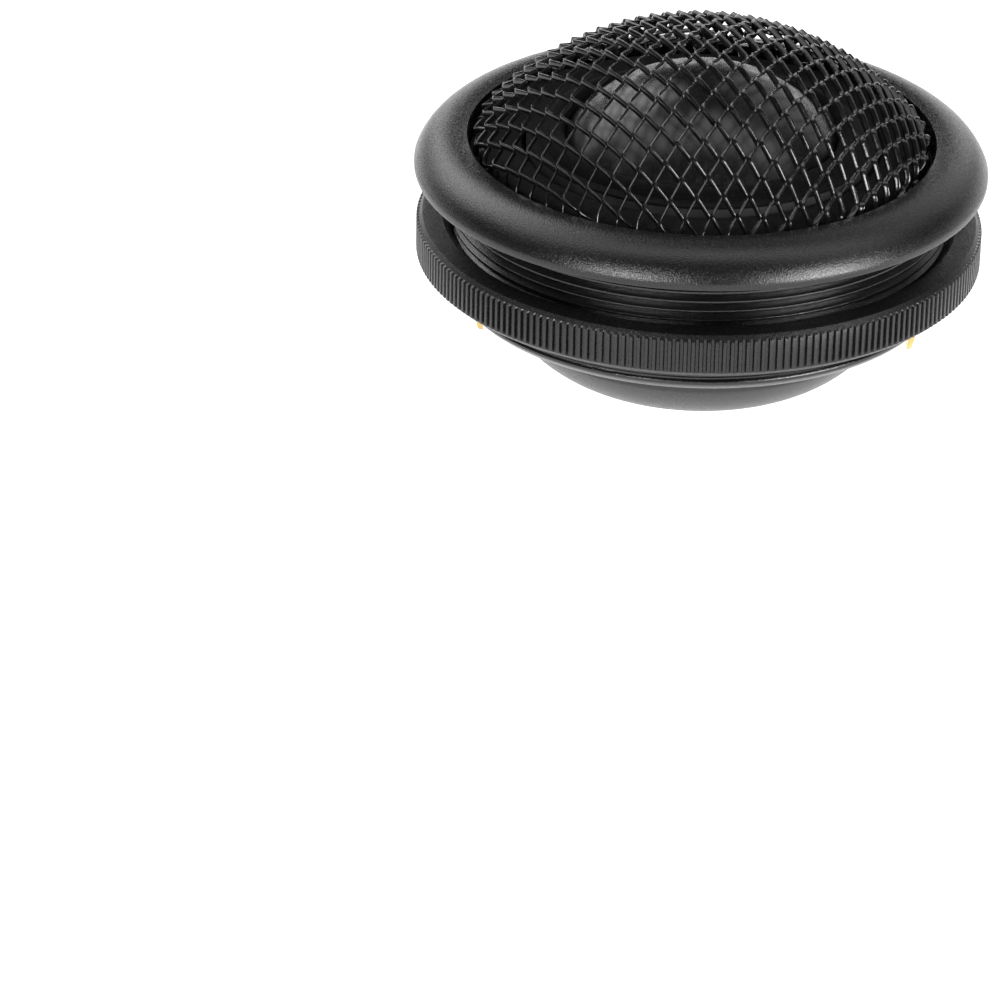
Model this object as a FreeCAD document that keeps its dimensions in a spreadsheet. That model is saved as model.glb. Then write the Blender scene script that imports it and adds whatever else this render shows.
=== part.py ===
import FreeCAD, Part
import math
import os

import Sketcher
from FreeCAD import Placement, Rotation, Vector

# A car-audio dome tweeter with a threaded barrel and a locking ring, in millimetres.
# +Z is the direction the tweeter plays in. The origin is on the axis, in the plane of the
# flange's rear face, which is the face that sits on the panel the tweeter is mounted in.

DIMENSIONS = {
    # housing: threaded barrel and rounded front flange
    "flange_radius": 30.0,
    "flange_rim": 0.74,
    "flange_edge": 0.22,
    "bezel_height": 3.65,
    "bezel_round": 4.7,
    "opening_radius": 24.5,
    "barrel_radius": 26.0,
    "barrel_length": 13.2,
    "barrel_chamfer": 0.8,
    "thread_depth": 0.52,
    "thread_half_width": 0.44,
    "thread_run": 10.3,
    "thread_turns": 11,
    "bore_radius": 24.0,
    "rear_bore_radius": 24.5,
    "rear_bore_depth": 1.6,
    "shelf_radius": 22.0,
    "shelf_depth": 0.35,
    "shelf_thickness": 1.6,
    # grille
    "grille_sphere": 31.0,
    "grille_sheet": 0.5,
    "grille_centre": -16.0,
    "grille_radius": 24.2,
    "grille_hem": 0.6,
    "grille_foot": 1.2,
    "grille_hem_height": 2.1,
    "mesh_short_pitch": 2.82,
    "mesh_long_pitch": 3.55,
    "mesh_turn": 4.7,
    "mesh_strand": 0.46,
    "mesh_reach": 23.4,
    # faceplate, felt and screws
    "faceplate_radius": 24.3,
    "faceplate_thickness": 1.55,
    "faceplate_mouth": 18.45,
    "faceplate_lip": 0.9,
    "faceplate_slope": 18.65,
    "felt_level": 1.2,
    "felt_inner": 18.7,
    "felt_outer": 23.3,
    "felt_thickness": 1.8,
    "screw_circle": 20.3,
    "screw_count": 3,
    "screw_shank": 0.95,
    "screw_bore": 1.05,
    "screw_head": 1.6,
    "screw_head_height": 0.85,
    "screw_length": 5.0,
    # dome, surround and voice coil
    "dome_level": 3.6,
    "dome_radius": 14.2,
    "dome_sphere": 17.33,
    "dome_sheet": 0.3,
    "dome_height": 7.4,
    "roll_inner": 14.3,
    "roll_outer": 17.0,
    "roll_round": 1.45,
    "roll_round_inner": 1.12,
    "roll_sheet": 0.25,
    "surround_radius": 18.3,
    "carrier_inner": 16.9,
    "carrier_radius": 21.6,
    "carrier_thickness": 1.85,
    "former_inner": 13.8,
    "former_outer": 13.95,
    "former_length": 9.6,
    "winding_radius": 14.25,
    "winding_length": 3.0,
    "winding_level": -4.8,
    # motor
    "plate_level": -4.4,
    "plate_thickness": 2.2,
    "gap_radius": 14.7,
    "pole_radius": 13.35,
    "copper_radius": 13.5,
    "copper_sheet": 0.15,
    "vent_radius": 2.6,
    "magnet_radius": 12.4,
    "magnet_height": 3.2,
    "cup_radius": 18.2,
    "cup_inner": 15.2,
    "cup_base": 2.6,
    "notch_start": 19.4,
    "notch_width": 3.0,
    "foam_radius": 11.0,
    "foam_thickness": 5.0,
    # rear plate, terminals and rivets
    "rear_plate_radius": 24.4,
    "rear_plate_opening": 14.0,
    "tab_slot_start": 23.2,
    "tab_slot_gap": 0.4,
    "tab_sheet": 0.5,
    "tab_foot_start": 15.2,
    "tab_leg_face": 23.9,
    "tab_bend": 4.0,
    "tab_length": 7.7,
    "tab_lean": 0.85,
    "tab_width_positive": 4.8,
    "tab_width_negative": 2.8,
    "tab_corner": 0.55,
    "tab_hole_half": 0.7,
    "tab_hole_round": 0.76,
    "tab_hole_low": 5.2,
    "tab_hole_high": 5.85,
    "rivet_circle": 16.7,
    "rivet_radius": 0.8,
    "rivet_bore": 0.85,
    "rivet_head": 1.4,
    "rivet_head_height": 0.35,
    # leads
    "lead_radius": 0.45,
    "lead_start": 20.5,
    "lead_end": 21.9,
    "lead_top": -1.3,
    "lead_bend_upper": -5.6,
    "lead_bend_lower": -8.4,
    # rear cap, wadding and badge
    "cap_radius": 20.4,
    "cap_rim_radius": 20.3,
    "cap_skirt": 2.93,
    "cap_shoulder": 14.0,
    "cap_shoulder_level": 8.2,
    "cap_shoulder_round": 11.8,
    "cap_crown_round": 42.0,
    "recess_radius": 7.76,
    "recess_level": 9.8,
    "recess_floor": 9.05,
    "cap_inner": 19.0,
    "cap_inner_skirt": 2.5,
    "cap_inner_shoulder": 13.4,
    "cap_inner_shoulder_level": 6.9,
    "cap_inner_round": 10.4,
    "cap_inner_top": 9.0,
    "cap_inner_level": 7.85,
    "badge_radius": 6.8,
    "badge_thickness": 0.85,
    "badge_edge": 0.15,
    "wadding_radius": 17.6,
    "wadding_start": 0.6,
    "wadding_shoulder": 2.4,
    "wadding_top_radius": 12.6,
    "wadding_top": 6.6,
    # locking ring
    "ring_radius": 29.7,
    "ring_height": 4.57,
    "ring_gap": 5.25,
    "ring_thread_crest": 26.25,
    "ring_thread_depth": 0.5,
    "ring_thread_turns": 3,
    "ring_thread_run": 2.0,
    "ring_bevel_radius": 27.0,
    "ring_bevel": 0.72,
    "ring_edge": 0.4,
    "knurl_count": 235,
    "knurl_depth": 0.32,
}

SHEET = "Dims"
AXIS = "0"


# ---------------------------------------------------------------- sheet and expressions

def make_sheet(doc):
    """Spreadsheet with one row per dimension: the name in column A, its value in column B."""
    sheet = doc.addObject("Spreadsheet::Sheet", SHEET)
    for row, (name, value) in enumerate(DIMENSIONS.items(), start=1):
        sheet.set(f"A{row}", name)
        sheet.set(f"B{row}", str(value))
        sheet.setAlias(f"B{row}", name)
    doc.recompute()
    return sheet


def split_terms(text):
    """'a + 2*b - c' becomes [(+1, 1, 'a'), (+1, 2, 'b'), (-1, 1, 'c')]."""
    terms = []
    sign = 1
    for word in text.split():
        if word == "+":
            sign = 1
        elif word == "-":
            sign = -1
        else:
            factor, _, name = word.rpartition("*")
            terms.append((sign, float(factor) if factor else 1.0, name))
            sign = 1
    return terms


def amount(text):
    """Number that a sum of dimension names stands for."""
    return sum(sign * factor * DIMENSIONS[name] for sign, factor, name in split_terms(text))


def bound(text):
    """Expression that ties a property to the same sum of cells of the sheet."""
    pieces = []
    for sign, factor, name in split_terms(text):
        mark = "+" if sign > 0 else "-"
        pieces.append(f"{mark} {factor:g} * {SHEET}.{name}")
    return " ".join(pieces)


def bind(thing, prop, text):
    thing.setExpression(prop, bound(text))


# ---------------------------------------------------------------- bodies and sketches

def make_body(doc, name):
    body = doc.addObject("PartDesign::Body", name)
    body.Label = name
    return body


def place(thing, level=None, flip=False, turn=0.0):
    """Put a piece at its level on the axis, upside down if flip, turned about the axis."""
    spin = Rotation(Vector(0, 0, 1), turn)
    if flip:
        spin = spin * Rotation(Vector(1, 0, 0), 180)
    height = amount(level) if level else 0.0
    thing.Placement = Placement(Vector(0, 0, height), spin)
    if level:
        bind(thing, "Placement.Base.z", level)


def origin_plane(body, role):
    return next(item for item in body.Origin.OriginFeatures if item.Role == role)


def new_sketch(body, name, role, height=None):
    sketch = body.newObject("Sketcher::SketchObject", name)
    sketch.AttachmentSupport = [(origin_plane(body, role), "")]
    sketch.MapMode = "FlatFace"
    if height:
        sketch.AttachmentOffset = Placement(Vector(0, 0, amount(height)), Rotation())
        bind(sketch, "AttachmentOffset.Base.z", height)
    return sketch


def pin_point(sketch, geometry, end, across, along):
    """Fix one end of a line or an arc at a place given by two sums of dimensions."""
    places = (("DistanceX", across, -2), ("DistanceY", along, -1))
    for kind, text, axis in places:
        if text == AXIS:
            sketch.addConstraint(Sketcher.Constraint("PointOnObject", geometry, end, axis))
            continue
        index = sketch.addConstraint(
            Sketcher.Constraint(kind, -1, 1, geometry, end, amount(text)))
        sketch.setExpression(f"Constraints[{index}]", bound(text))


def coordinate(text):
    return 0.0 if text == AXIS else amount(text)


def arc_between(start, end, radius, side):
    """Arc of a circle from start to end. side +1 has its centre left of the way from
    start to end, side -1 has it right."""
    chord = end - start
    middle = (start + end) * 0.5
    rise = math.sqrt(radius ** 2 - (chord.Length / 2) ** 2)
    left = Vector(-chord.y, chord.x, 0).normalize()
    centre = middle + left * rise * side
    first = math.atan2(start.y - centre.y, start.x - centre.x)
    last = math.atan2(end.y - centre.y, end.x - centre.x)
    if side < 0:
        first, last = last, first
    if last < first:
        last += 2 * math.pi
    circle = Part.Circle(centre, Vector(0, 0, 1), radius)
    return Part.ArcOfCircle(circle, first, last)


def draw_outline(sketch, corners, arcs=None):
    """Closed outline through the corners. arcs maps the number of a corner to the
    (radius, side) of the arc that leaves it; the other sides are straight."""
    arcs = arcs or {}
    points = [Vector(coordinate(a), coordinate(b), 0) for a, b in corners]
    count = len(points)
    ends = []
    for number, start in enumerate(points):
        finish = points[(number + 1) % count]
        if number in arcs:
            radius, side = arcs[number]
            index = sketch.addGeometry(arc_between(start, finish, amount(radius), side), False)
            ends.append((1, 2) if side > 0 else (2, 1))
        else:
            index = sketch.addGeometry(Part.LineSegment(start, finish), False)
            ends.append((1, 2))
    for number in range(count):
        after = (number + 1) % count
        sketch.addConstraint(Sketcher.Constraint(
            "Coincident", number, ends[number][1], after, ends[after][0]))
    for number, (across, along) in enumerate(corners):
        pin_point(sketch, number, ends[number][0], across, along)
    for number, (radius, _) in arcs.items():
        index = sketch.addConstraint(Sketcher.Constraint("Radius", number, amount(radius)))
        sketch.setExpression(f"Constraints[{index}]", bound(radius))


def draw_circle(sketch, radius, across=AXIS, along=AXIS):
    centre = Vector(coordinate(across), coordinate(along), 0)
    index = sketch.addGeometry(Part.Circle(centre, Vector(0, 0, 1), amount(radius)), False)
    pin_point(sketch, index, 3, across, along)
    size = sketch.addConstraint(Sketcher.Constraint("Radius", index, amount(radius)))
    sketch.setExpression(f"Constraints[{size}]", bound(radius))


def revolve(body, name, corners, arcs=None):
    """Solid of revolution about Z from an outline of (radius, height) corners."""
    sketch = new_sketch(body, f"{name}_profile", "XZ_Plane")
    draw_outline(sketch, corners, arcs)
    feature = body.newObject("PartDesign::Revolution", name)
    feature.Profile = sketch
    feature.ReferenceAxis = (sketch, ["V_Axis"])
    feature.Angle = 360
    body.Document.recompute()
    return feature


def groove(body, name, corners):
    """Ring-shaped cut about Z."""
    sketch = new_sketch(body, f"{name}_profile", "XZ_Plane")
    draw_outline(sketch, corners)
    feature = body.newObject("PartDesign::Groove", name)
    feature.Profile = sketch
    feature.ReferenceAxis = (sketch, ["V_Axis"])
    feature.Angle = 360
    body.Document.recompute()
    return feature


def repeat_along_axis(body, feature, run, turns):
    pattern = body.newObject("PartDesign::LinearPattern", f"{feature.Name}_rows")
    pattern.Originals = [feature]
    pattern.Direction = (feature.Profile[0], ["V_Axis"])
    pattern.Length = amount(run)
    bind(pattern, "Length", run)
    pattern.Occurrences = int(amount(turns))
    bind(pattern, "Occurrences", turns)
    body.Tip = pattern
    body.Document.recompute()


def repeat_round_axis(body, feature, count):
    pattern = body.newObject("PartDesign::PolarPattern", f"{feature.Name}_round")
    pattern.Originals = [feature]
    pattern.Axis = (origin_axis(body, "Z_Axis"), [""])
    pattern.Angle = 360
    pattern.Occurrences = int(amount(count))
    bind(pattern, "Occurrences", count)
    body.Tip = pattern
    body.Document.recompute()


def origin_axis(body, role):
    return next(item for item in body.Origin.OriginFeatures if item.Role == role)


def cut_through(body, name, sketch):
    """Pocket that runs through the whole piece both ways from its sketch."""
    before = body.Shape.Volume
    pocket = body.newObject("PartDesign::Pocket", name)
    pocket.Profile = sketch
    pocket.Type = "ThroughAll"
    pocket.Midplane = True
    body.Document.recompute()
    if not pocket.Shape.Volume < before:
        raise ValueError(f"{name} cuts nothing")
    return pocket


def tube(doc, name, level, inner, outer, height):
    """Plain ring or tube that stands on its level."""
    body = make_body(doc, name)
    corners = [(inner, AXIS), (outer, AXIS), (outer, height), (inner, height)]
    revolve(body, f"{name}_ring", corners)
    place(body, level)
    return body


# ---------------------------------------------------------------- shell of the tweeter

def make_housing(doc):
    """Barrel and flange turned from one piece, with an inner shelf for the motor."""
    body = make_body(doc, "housing")
    seat = "barrel_length"
    shelf_top = f"{seat} - shelf_depth"
    corners = [
        ("rear_bore_radius", AXIS),
        ("barrel_radius - barrel_chamfer", AXIS),
        ("barrel_radius", "barrel_chamfer"),
        ("barrel_radius", seat),
        ("flange_radius - flange_edge", seat),
        ("flange_radius", f"{seat} + flange_edge"),
        ("flange_radius", f"{seat} + flange_rim"),
        ("opening_radius", f"{seat} + bezel_height"),
        ("opening_radius", shelf_top),
        ("shelf_radius", shelf_top),
        ("shelf_radius", f"{shelf_top} - shelf_thickness"),
        ("bore_radius", f"{shelf_top} - shelf_thickness"),
        ("bore_radius", "rear_bore_depth"),
        ("rear_bore_radius", "rear_bore_depth"),
    ]
    flange_corner = 6
    revolve(body, "barrel", corners, {flange_corner: ("bezel_round", 1)})
    root = "barrel_radius - thread_depth"
    first = "barrel_chamfer + 2*thread_half_width"
    thread = groove(body, "outer_thread", [
        ("barrel_radius + thread_depth", f"{first} - 2*thread_half_width"),
        (root, first),
        ("barrel_radius + thread_depth", f"{first} + 2*thread_half_width"),
    ])
    repeat_along_axis(body, thread, "thread_run", "thread_turns")
    place(body, "- barrel_length")
    return body


def ball(doc, name, radius, centre):
    solid = doc.addObject("Part::Sphere", name)
    bind(solid, "Radius", radius)
    solid.Placement.Base.z = amount(centre)
    bind(solid, "Placement.Base.z", centre)
    return solid


def drum(doc, name, radius, height, level):
    solid = doc.addObject("Part::Cylinder", name)
    bind(solid, "Radius", radius)
    bind(solid, "Height", height)
    solid.Placement.Base.z = amount(level)
    bind(solid, "Placement.Base.z", level)
    return solid


def combine(doc, kind, name, base, tool):
    result = doc.addObject(kind, name)
    result.Base = base
    result.Tool = tool
    doc.recompute()
    return result


def domed_sheet(doc, name, sphere, sheet, centre, rim, level):
    """Piece of a hollow ball: everything above the level and inside the rim's radius."""
    outer = ball(doc, f"{name}_outside", sphere, centre)
    inner = ball(doc, f"{name}_inside", f"{sphere} - {sheet}", centre)
    shell = combine(doc, "Part::Cut", f"{name}_shell", outer, inner)
    reach = drum(doc, f"{name}_reach", rim, sphere, level)
    return combine(doc, "Part::Common", f"{name}_dome", shell, reach)


def diamond_prism(across, along, half_short, half_long, height):
    """Upright prism whose section is a diamond."""
    corners = [
        Vector(across + half_short, along, 0),
        Vector(across, along + half_long, 0),
        Vector(across - half_short, along, 0),
        Vector(across, along - half_long, 0),
    ]
    outline = Part.makePolygon(corners + corners[:1])
    return Part.Face(outline).extrude(Vector(0, 0, height))


def mesh_openings(doc):
    """All the openings of the diamond mesh as one compound of prisms."""
    column_step = amount("mesh_short_pitch") / 2
    row_step = amount("mesh_long_pitch") / 2
    slant = math.hypot(column_step, row_step)
    border = amount("mesh_strand") / 2
    half_short = column_step - border * slant / row_step
    half_long = row_step - border * slant / column_step
    reach = amount("mesh_reach")
    height = amount("grille_sphere")
    rows = int(reach / row_step) + 1
    columns = int(reach / column_step) + 1
    inside = Part.makeCylinder(reach, height)
    prisms = []
    for row in range(-rows, rows + 1):
        for column in range(-columns, columns + 1):
            across = column * column_step
            along = row * row_step
            middle = math.hypot(across, along)
            if (row + column) % 2 or middle > reach:
                continue
            prism = diamond_prism(across, along, half_short, half_long, height)
            crosses_rim = middle + half_long > reach
            prisms.append(prism.common(inside) if crosses_rim else prism)
    holes = doc.addObject("Part::Feature", "mesh_openings")
    openings = Part.makeCompound(prisms)
    openings.rotate(Vector(0, 0, 0), Vector(0, 0, 1), amount("mesh_turn"))
    holes.Shape = openings
    return holes


def make_grille(doc):
    """Domed diamond mesh with a short hem that is pressed into the flange's bore."""
    dome = domed_sheet(doc, "grille", "grille_sphere", "grille_sheet", "grille_centre",
                       "grille_radius", "grille_foot")
    hem_outside = drum(doc, "hem_outside", "grille_radius", "grille_hem_height", "grille_foot")
    hem_inside = drum(
        doc, "hem_inside", "grille_radius - grille_hem", "grille_sphere", "grille_foot - grille_hem")
    hem = combine(doc, "Part::Cut", "grille_hem_ring", hem_outside, hem_inside)
    solid = combine(doc, "Part::Fuse", "grille_plain", dome, hem)
    mesh = combine(doc, "Part::Cut", "grille_mesh", solid, mesh_openings(doc))
    mesh.Label = "grille_mesh"
    return mesh


# ---------------------------------------------------------------- front of the motor

def add_screw_holes(body, name, radius):
    """Round holes for the screws, evenly spaced on their circle."""
    sketch = new_sketch(body, f"{name}_place", "XY_Plane")
    draw_circle(sketch, radius, AXIS, "screw_circle")
    hole = cut_through(body, name, sketch)
    repeat_round_axis(body, hole, "screw_count")


def add_countersinks(body, top):
    """Conical seats for the screw heads in the top face."""
    sketch = new_sketch(body, "countersink_place", "YZ_Plane")
    far = "screw_circle"
    draw_outline(sketch, [
        (far, f"{top} - screw_head_height"),
        (f"{far} + screw_shank", f"{top} - screw_head_height"),
        (f"{far} + screw_head", top),
        (far, top),
    ])
    before = body.Shape.Volume
    cone = body.newObject("PartDesign::Groove", "countersink")
    cone.Profile = sketch
    cone.ReferenceAxis = (sketch, ["Edge4"])
    cone.Angle = 360
    body.Document.recompute()
    if not cone.Shape.Volume < before:
        raise ValueError("countersink cuts nothing")
    repeat_round_axis(body, cone, "screw_count")


def make_faceplate(doc):
    """Flat plate with a sloping mouth round the dome."""
    body = make_body(doc, "faceplate")
    revolve(body, "faceplate_disc", [
        ("faceplate_mouth", AXIS),
        ("faceplate_radius", AXIS),
        ("faceplate_radius", "faceplate_thickness"),
        ("faceplate_slope", "faceplate_thickness"),
        ("faceplate_mouth", "faceplate_lip"),
    ])
    add_screw_holes(body, "faceplate_hole", "screw_bore")
    add_countersinks(body, "faceplate_thickness")
    place(body, "- shelf_depth")
    return body


def make_screws(doc):
    """Three countersunk screws as separate solids."""
    body = make_body(doc, "faceplate_screws")
    body.AllowCompound = True
    sketch = new_sketch(body, "screw_profile", "YZ_Plane")
    far = "screw_circle"
    draw_outline(sketch, [
        (far, AXIS),
        (f"{far} + screw_shank", AXIS),
        (f"{far} + screw_shank", "screw_length - screw_head_height"),
        (f"{far} + screw_head", "screw_length"),
        (far, "screw_length"),
    ])
    screw = body.newObject("PartDesign::Revolution", "screw")
    screw.Profile = sketch
    screw.ReferenceAxis = (sketch, ["Edge5"])
    screw.Angle = 360
    doc.recompute()
    repeat_round_axis(body, screw, "screw_count")
    place(body, "faceplate_thickness - shelf_depth - screw_length")
    return body


def add_lead_notches(body, name):
    """Two open notches on the X axis that let the leads pass."""
    sketch = new_sketch(body, f"{name}_place", "XY_Plane")
    far = "carrier_radius + notch_width"
    corners = [
        ("notch_start", "- 0.5*notch_width"),
        (far, "- 0.5*notch_width"),
        (far, "0.5*notch_width"),
        ("notch_start", "0.5*notch_width"),
    ]
    draw_outline(sketch, corners)
    notch = cut_through(body, name, sketch)
    pattern = body.newObject("PartDesign::Mirrored", f"{name}_pair")
    pattern.Originals = [notch]
    pattern.MirrorPlane = (origin_plane(body, "YZ_Plane"), [""])
    body.Tip = pattern
    doc = body.Document
    doc.recompute()


def make_diaphragm_ring(doc):
    """Screwed flange with a sleeve that carries the rim of the surround."""
    body = make_body(doc, "diaphragm_ring")
    sleeve_top = "dome_level - plate_level - plate_thickness"
    revolve(body, "ring_profile", [
        ("carrier_inner", AXIS),
        ("carrier_radius", AXIS),
        ("carrier_radius", "carrier_thickness"),
        ("surround_radius", "carrier_thickness"),
        ("surround_radius", sleeve_top),
        ("carrier_inner", sleeve_top),
    ])
    place(body, "plate_level + plate_thickness")
    add_screw_holes(body, "ring_hole", "screw_bore")
    add_lead_notches(body, "ring_notch")
    return body


def make_dome(doc):
    """Spherical silk dome whose edge the voice coil former is glued to."""
    dome = domed_sheet(doc, "dome", "dome_sphere", "dome_sheet",
                       "dome_level + dome_height - dome_sphere", "dome_radius", "dome_level")
    dome.Label = "dome_diaphragm"
    return dome


def make_surround(doc):
    """Half-roll edge: a rounded ring with a flat rim that lies on the diaphragm ring."""
    body = make_body(doc, "surround")
    revolve(body, "surround_roll", [
        ("roll_inner", AXIS),
        ("roll_inner + roll_sheet", AXIS),
        ("roll_outer - roll_sheet", AXIS),
        ("surround_radius", AXIS),
        ("surround_radius", "roll_sheet"),
        ("roll_outer", "roll_sheet"),
        ("roll_inner", "roll_sheet"),
    ], {1: ("roll_round_inner", -1), 5: ("roll_round", 1)})
    place(body, "dome_level")
    return body


# ---------------------------------------------------------------- motor

def make_top_plate(doc):
    body = tube(doc, "top_plate", "plate_level", "gap_radius", "carrier_radius",
                "plate_thickness")
    add_screw_holes(body, "plate_hole", "screw_shank")
    add_lead_notches(body, "plate_notch")
    return body


def make_copper_cap(doc):
    """Thin cap over the inner pole."""
    body = make_body(doc, "copper_cap")
    revolve(body, "copper_shell", [
        ("pole_radius", AXIS),
        ("copper_radius", AXIS),
        ("copper_radius", "plate_thickness + copper_sheet"),
        ("vent_radius", "plate_thickness + copper_sheet"),
        ("vent_radius", "plate_thickness"),
        ("pole_radius", "plate_thickness"),
    ])
    place(body, "plate_level")
    return body


def make_motor_cup(doc):
    """Steel cup that carries the magnet and returns the flux to the outer pole."""
    body = make_body(doc, "motor_cup")
    revolve(body, "cup_shell", [
        ("vent_radius", AXIS),
        ("cup_radius", AXIS),
        ("cup_radius", "cup_base + magnet_height"),
        ("cup_inner", "cup_base + magnet_height"),
        ("cup_inner", "cup_base"),
        ("vent_radius", "cup_base"),
    ])
    place(body, "plate_level - magnet_height - cup_base")
    return body


def make_lead(doc, name, turn):
    """Insulated wire from the coil's solder point down to a terminal's foot."""
    body = make_body(doc, name)
    path = new_sketch(body, f"{name}_path", "XZ_Plane")
    foot = "rear_bore_depth + tab_sheet - barrel_length"
    stops = [
        ("lead_start", "lead_top"),
        ("lead_start", "lead_bend_upper"),
        ("lead_end", "lead_bend_lower"),
        ("lead_end", foot),
    ]
    points = [Vector(amount(a), amount(b), 0) for a, b in stops]
    for number, (start, finish) in enumerate(zip(points, points[1:])):
        path.addGeometry(Part.LineSegment(start, finish), False)
        if number:
            path.addConstraint(Sketcher.Constraint("Coincident", number - 1, 2, number, 1))
        pin_point(path, number, 1, *stops[number])
    pin_point(path, len(points) - 2, 2, *stops[-1])
    section = new_sketch(body, f"{name}_section", "XY_Plane", "lead_top")
    draw_circle(section, "lead_radius", "lead_start", AXIS)
    pipe = body.newObject("PartDesign::AdditivePipe", f"{name}_pipe")
    pipe.Profile = section
    pipe.Spine = (path, ["Edge1", "Edge2", "Edge3"])
    pipe.Transition = "Round corner"
    doc.recompute()
    place(body, turn=turn)
    return body


# ---------------------------------------------------------------- rear

def make_rear_plate(doc):
    """Ring that closes the barrel, with an edge notch and a rivet hole for each terminal."""
    body = tube(doc, "rear_plate", "- barrel_length", "rear_plate_opening",
                "rear_plate_radius", "rear_bore_depth")
    for name, width, side in (("positive", "tab_width_positive", 1),
                              ("negative", "tab_width_negative", -1)):
        sign = "" if side > 0 else "- "
        near = f"{sign}tab_slot_start"
        far = "2*rear_plate_radius" if side > 0 else "- 2*rear_plate_radius"
        low = f"- 0.5*{width} - 0.5*tab_slot_gap"
        high = f"0.5*{width} + 0.5*tab_slot_gap"
        corners = [(near, low), (far, low), (far, high), (near, high)]
        slot = new_sketch(body, f"slot_{name}_place", "XY_Plane")
        draw_outline(slot, corners)
        body.Tip = cut_through(body, f"slot_{name}", slot)
        hole = new_sketch(body, f"rivet_hole_{name}_place", "XY_Plane")
        draw_circle(hole, "rivet_bore", f"{sign}rivet_circle", AXIS)
        body.Tip = cut_through(body, f"rivet_hole_{name}", hole)
    doc.recompute()
    return body


def corner_edges(shape, length):
    """Names of the edges across the sheet at the free end of a tab."""
    names = []
    for number, edge in enumerate(shape.Edges, start=1):
        box = edge.BoundBox
        if box.ZMin > length - 0.01 and box.YLength < 0.01:
            names.append(f"Edge{number}")
    return names


def make_terminal(doc, name, width, turn):
    """Brass tab: a foot riveted inside the rear plate and a leg that stands out behind it."""
    body = make_body(doc, name)
    sketch = new_sketch(body, f"{name}_side", "XZ_Plane")
    draw_outline(sketch, [
        ("tab_foot_start", AXIS),
        ("tab_leg_face", AXIS),
        ("tab_leg_face", "tab_bend"),
        ("tab_leg_face - tab_lean", "tab_length"),
        ("tab_leg_face - tab_lean - tab_sheet", "tab_length"),
        ("tab_leg_face - tab_sheet", "tab_bend"),
        ("tab_leg_face - tab_sheet", "tab_sheet"),
        ("tab_foot_start", "tab_sheet"),
    ])
    pad = body.newObject("PartDesign::Pad", f"{name}_strip")
    pad.Profile = sketch
    pad.Midplane = True
    bind(pad, "Length", width)
    doc.recompute()
    chamfer = body.newObject("PartDesign::Chamfer", f"{name}_corners")
    chamfer.Base = (pad, corner_edges(pad.Shape, amount("tab_length")))
    bind(chamfer, "Size", "tab_corner")
    body.Tip = chamfer
    doc.recompute()
    eye = new_sketch(body, f"{name}_eye_place", "YZ_Plane")
    draw_slot(eye, "tab_hole_half", "tab_hole_low", "tab_hole_high", "tab_hole_round")
    body.Tip = cut_through(body, f"{name}_eye", eye)
    rivet = new_sketch(body, f"{name}_rivet_place", "XY_Plane")
    draw_circle(rivet, "rivet_bore", "rivet_circle", AXIS)
    body.Tip = cut_through(body, f"{name}_rivet_hole", rivet)
    place(body, "rear_bore_depth + tab_sheet - barrel_length", flip=True, turn=turn)
    doc.recompute()
    return body


def draw_slot(sketch, half, low, high, end_round):
    """Upright slot with round ends, centred on the sketch's vertical axis."""
    corners = [(f"- {half}", low), (half, low), (half, high), (f"- {half}", high)]
    draw_outline(sketch, corners, {0: (end_round, 1), 2: (end_round, 1)})


def make_rivets(doc):
    """One rivet at each terminal's foot, as separate solids."""
    body = make_body(doc, "terminal_rivets")
    body.AllowCompound = True
    sketch = new_sketch(body, "rivet_profile", "XZ_Plane")
    far = "rivet_circle"
    foot = "rivet_head_height"
    top = f"{foot} + rear_bore_depth + tab_sheet"
    draw_outline(sketch, [
        (far, AXIS),
        (f"{far} + rivet_head", AXIS),
        (f"{far} + rivet_head", foot),
        (f"{far} + rivet_radius", foot),
        (f"{far} + rivet_radius", top),
        (f"{far} + rivet_head", top),
        (f"{far} + rivet_head", f"{top} + rivet_head_height"),
        (far, f"{top} + rivet_head_height"),
    ])
    rivet = body.newObject("PartDesign::Revolution", "rivet")
    rivet.Profile = sketch
    rivet.ReferenceAxis = (sketch, ["Edge8"])
    rivet.Angle = 360
    doc.recompute()
    pattern = body.newObject("PartDesign::Mirrored", "rivet_pair")
    pattern.Originals = [rivet]
    pattern.MirrorPlane = (origin_plane(body, "YZ_Plane"), [""])
    body.Tip = pattern
    doc.recompute()
    place(body, "- barrel_length - rivet_head_height")
    return body


def make_rear_cap(doc):
    """Domed cover behind the rear plate, open towards the motor, with a round recess."""
    body = make_body(doc, "rear_cap")
    revolve(body, "cap_shell", [
        ("cap_inner", AXIS),
        ("cap_radius", AXIS),
        ("cap_rim_radius", "cap_skirt"),
        ("cap_shoulder", "cap_shoulder_level"),
        ("recess_radius", "recess_level"),
        ("recess_radius", "recess_floor"),
        (AXIS, "recess_floor"),
        (AXIS, "cap_inner_level"),
        ("cap_inner_top", "cap_inner_level"),
        ("cap_inner_shoulder", "cap_inner_shoulder_level"),
        ("cap_inner", "cap_inner_skirt"),
    ], {
        2: ("cap_shoulder_round", 1),
        3: ("cap_crown_round", 1),
        9: ("cap_inner_round", -1),
    })
    place(body, "- barrel_length", flip=True)
    return body


def make_badge(doc):
    body = make_body(doc, "badge_disc")
    revolve(body, "badge_plate", [
        (AXIS, AXIS),
        ("badge_radius", AXIS),
        ("badge_radius", "badge_thickness - badge_edge"),
        ("badge_radius - badge_edge", "badge_thickness"),
        (AXIS, "badge_thickness"),
    ])
    place(body, "- barrel_length - recess_floor", flip=True)
    return body


def make_wadding(doc):
    body = make_body(doc, "chamber_wadding")
    revolve(body, "wadding_pad", [
        (AXIS, "wadding_start"),
        ("wadding_radius", "wadding_start"),
        ("wadding_radius", "wadding_shoulder"),
        ("wadding_top_radius", "wadding_top"),
        (AXIS, "wadding_top"),
    ])
    place(body, "- barrel_length", flip=True)
    return body


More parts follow.
